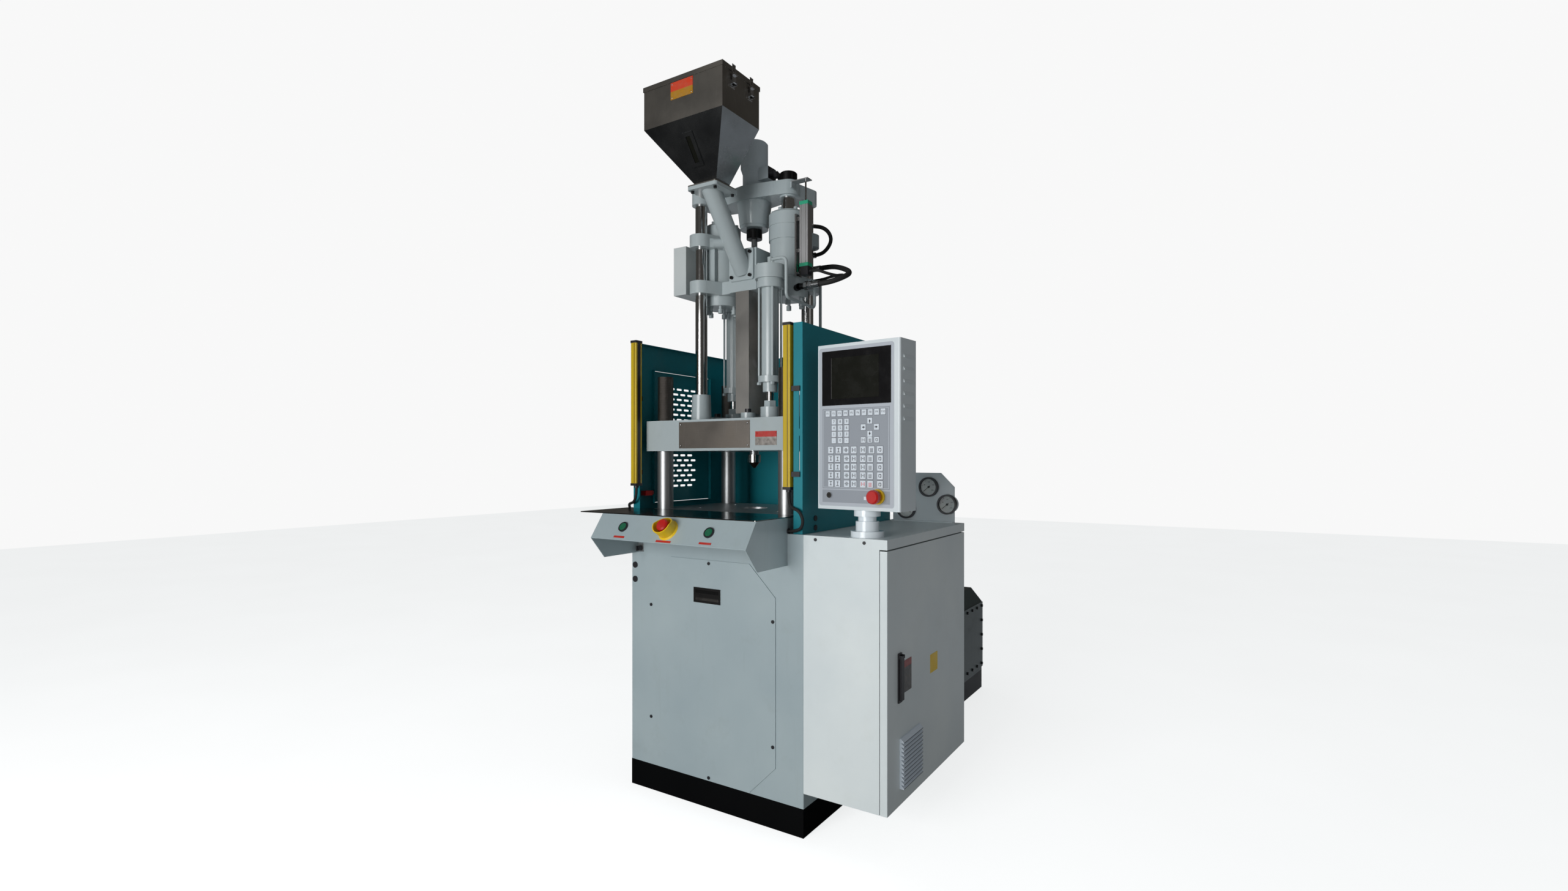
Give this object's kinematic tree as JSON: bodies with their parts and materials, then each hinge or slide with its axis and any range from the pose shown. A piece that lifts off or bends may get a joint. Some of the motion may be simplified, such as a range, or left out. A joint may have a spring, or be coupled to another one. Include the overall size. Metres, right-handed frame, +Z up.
{
  "type": "vertical injection moulding machine",
  "caption": "Vertical injection moulding machine with a four-column clamp, a hopper-fed injection unit on guide rods, a two-hand console, light bars and a side control cabinet.",
  "frame": {"origin": "on the floor under the plinth, plumb below the injection axis", "axes": "+X to the operator's right, +Y to the rear, +Z up"},
  "size_m": [1.1534, 2.0337, 2.4119],
  "materials": {
    "plinth_paint": "satin",
    "body_paint": "gloss",
    "unit_paint": "gloss",
    "tank_paint": "gloss",
    "pump_paint": "satin",
    "cabinet_paint": "gloss",
    "panel_paint": "satin",
    "gauge_paint": "satin",
    "guard_paint": "gloss",
    "chrome_steel": "polished",
    "chrome_trim": "polished",
    "ground_steel": "ground",
    "machined_steel": "machined",
    "sheet_steel": "brushed",
    "plate_steel": "brushed",
    "sensor_body": "brushed",
    "union_steel": "blackened",
    "hose_rubber": "matte",
    "curtain_yellow": "gloss",
    "black_plastic": "satin",
    "trim_plastic": "gloss",
    "green_cap": "gloss",
    "red_cap": "gloss",
    "panel_film": "satin",
    "gauge_glass": "clear",
    "needle_black": "matte"
  },
  "bodies": {
    "base": {"plinth": "plinth_paint", "base_frame": "body_paint", "front_cover": "body_paint", "front_hardware": "chrome_trim", "oil_tank": "tank_paint", "pump_set": "pump_paint", "table_block": "ground_steel", "table_sheet": "ground_steel", "clamp_cylinder": "machined_steel", "right_guard": "guard_paint", "left_guard": "guard_paint", "curtain_bars": "curtain_yellow", "curtain_fittings": "black_plastic", "right_curtain_lead": "hose_rubber", "left_curtain_lead": "hose_rubber", "console": "body_paint", "switch_bezels": "black_plastic", "console_trim": "trim_plastic", "cabinet": "cabinet_paint", "gauges": "gauge_paint", "gauge_lenses": "gauge_glass"},
    "clamp": {"tie_bars": "chrome_steel", "crosshead": "machined_steel", "upper_platen": "body_paint", "platen_trim": "plate_steel", "lift_rods": "chrome_steel"},
    "carriage": {"lift_cylinders": "unit_paint", "carriage": "unit_paint", "injection_cylinders": "unit_paint", "barrel": "machined_steel", "barrel_shield": "sheet_steel", "feed_pipe": "unit_paint", "hopper": "sheet_steel", "hopper_lid": "sheet_steel", "linear_scale": "sensor_body", "hose_unions": "union_steel", "hose_1": "hose_rubber", "hose_2": "hose_rubber", "sensor_cable": "hose_rubber"},
    "injection": {"guide_rods": "chrome_steel", "injection_plate": "unit_paint", "screw_motor": "unit_paint"},
    "screw": {"screw": "machined_steel"},
    "latch_1": {"latch_lever_1": "sheet_steel"},
    "latch_2": {"latch_lever_2": "sheet_steel"},
    "panel": {"panel_case": "panel_paint", "panel_face": "panel_film"},
    "panel_stop": {"panel_stop_head": "red_cap"},
    "key": {"key_core": "chrome_trim"},
    "left_button": {"left_button": "green_cap"},
    "right_button": {"right_button": "green_cap"},
    "console_stop": {"console_stop_head": "red_cap"},
    "selector": {"selector_knob": "black_plastic"},
    "cabinet_door": {"cabinet_door": "cabinet_paint", "door_trim": "trim_plastic"},
    "handle": {"door_handle": "black_plastic"},
    "guard_door": {"left_guard_door": "guard_paint"},
    "needle_1": {"gauge_needle_1": "needle_black"},
    "needle_2": {"gauge_needle_2": "needle_black"},
    "needle_3": {"gauge_needle_3": "needle_black"}
  },
  "joints": [
    {"name": "clamp_stroke", "type": "slide", "parent": "base", "child": "clamp", "axis": [0, 0, 1], "range_m": [-0.12, 0]},
    {"name": "unit_lift", "type": "slide", "parent": "clamp", "child": "carriage", "axis": [0, 0, 1], "range_m": [0, 0.045]},
    {"name": "injection_stroke", "type": "slide", "parent": "carriage", "child": "injection", "axis": [0, 0, 1], "range_m": [-0.045, 0.055]},
    {"name": "screw_turn", "type": "hinge", "parent": "injection", "child": "screw", "pos_m": [0, 0, 1.99], "axis": [0, 0, 1], "continuous": true},
    {"name": "latch_1_swing", "type": "hinge", "parent": "carriage", "child": "latch_1", "pos_m": [0.1715, -0.3585, 2.354], "axis": [0, 1, 0], "range_deg": [0, 110]},
    {"name": "latch_2_swing", "type": "hinge", "parent": "carriage", "child": "latch_2", "pos_m": [0.1715, -0.2615, 2.354], "axis": [0, 1, 0], "range_deg": [0, 110]},
    {"name": "panel_swivel", "type": "hinge", "parent": "base", "child": "panel", "pos_m": [0.571, -0.229, 1], "axis": [0, 0, 1], "range_deg": [-40, 40]},
    {"name": "panel_stop_press", "type": "slide", "parent": "panel", "child": "panel_stop", "axis": [0.0872, 0.9962, 0], "range_m": [0, 0.004]},
    {"name": "key_turn", "type": "hinge", "parent": "panel", "child": "key", "pos_m": [0.46603, -0.27, 1.0585], "axis": [-0.0872, -0.9962, 0], "range_deg": [0, 90]},
    {"name": "left_button_press", "type": "slide", "parent": "base", "child": "left_button", "axis": [0, 0.8221, -0.5693], "range_m": [0, 0.004], "stiffness_N_per_m": 300},
    {"name": "right_button_press", "type": "slide", "parent": "base", "child": "right_button", "axis": [0, 0.8221, -0.5693], "range_m": [0, 0.004], "stiffness_N_per_m": 300},
    {"name": "console_stop_press", "type": "slide", "parent": "base", "child": "console_stop", "axis": [0, 0.8221, -0.5693], "range_m": [0, 0.004]},
    {"name": "selector_turn", "type": "hinge", "parent": "base", "child": "selector", "pos_m": [-0.288, -0.3, 0.851], "axis": [0, -1, 0], "range_deg": [0, 90]},
    {"name": "cabinet_door_swing", "type": "hinge", "parent": "base", "child": "cabinet_door", "pos_m": [0.64, 0.3885, 0.5], "axis": [0, 0, 1], "range_deg": [0, 110]},
    {"name": "handle_lift", "type": "hinge", "parent": "cabinet_door", "child": "handle", "pos_m": [0.6726, -0.2045, 0.582], "axis": [0, -1, 0], "range_deg": [0, 80]},
    {"name": "guard_door_swing", "type": "hinge", "parent": "base", "child": "guard_door", "pos_m": [-0.3713, 0.1885, 1.25], "axis": [0, 0, -1], "range_deg": [0, 90]},
    {"name": "needle_1_turn", "type": "hinge", "parent": "base", "child": "needle_1", "pos_m": [0.443, 0.37, 0.979], "axis": [0, 1, 0], "range_deg": [0, 260]},
    {"name": "needle_2_turn", "type": "hinge", "parent": "base", "child": "needle_2", "pos_m": [0.532, 0.37, 1.063], "axis": [0, 1, 0], "range_deg": [0, 260]},
    {"name": "needle_3_turn", "type": "hinge", "parent": "base", "child": "needle_3", "pos_m": [0.603, 0.37, 1], "axis": [0, 1, 0], "range_deg": [0, 260]}
  ]
}
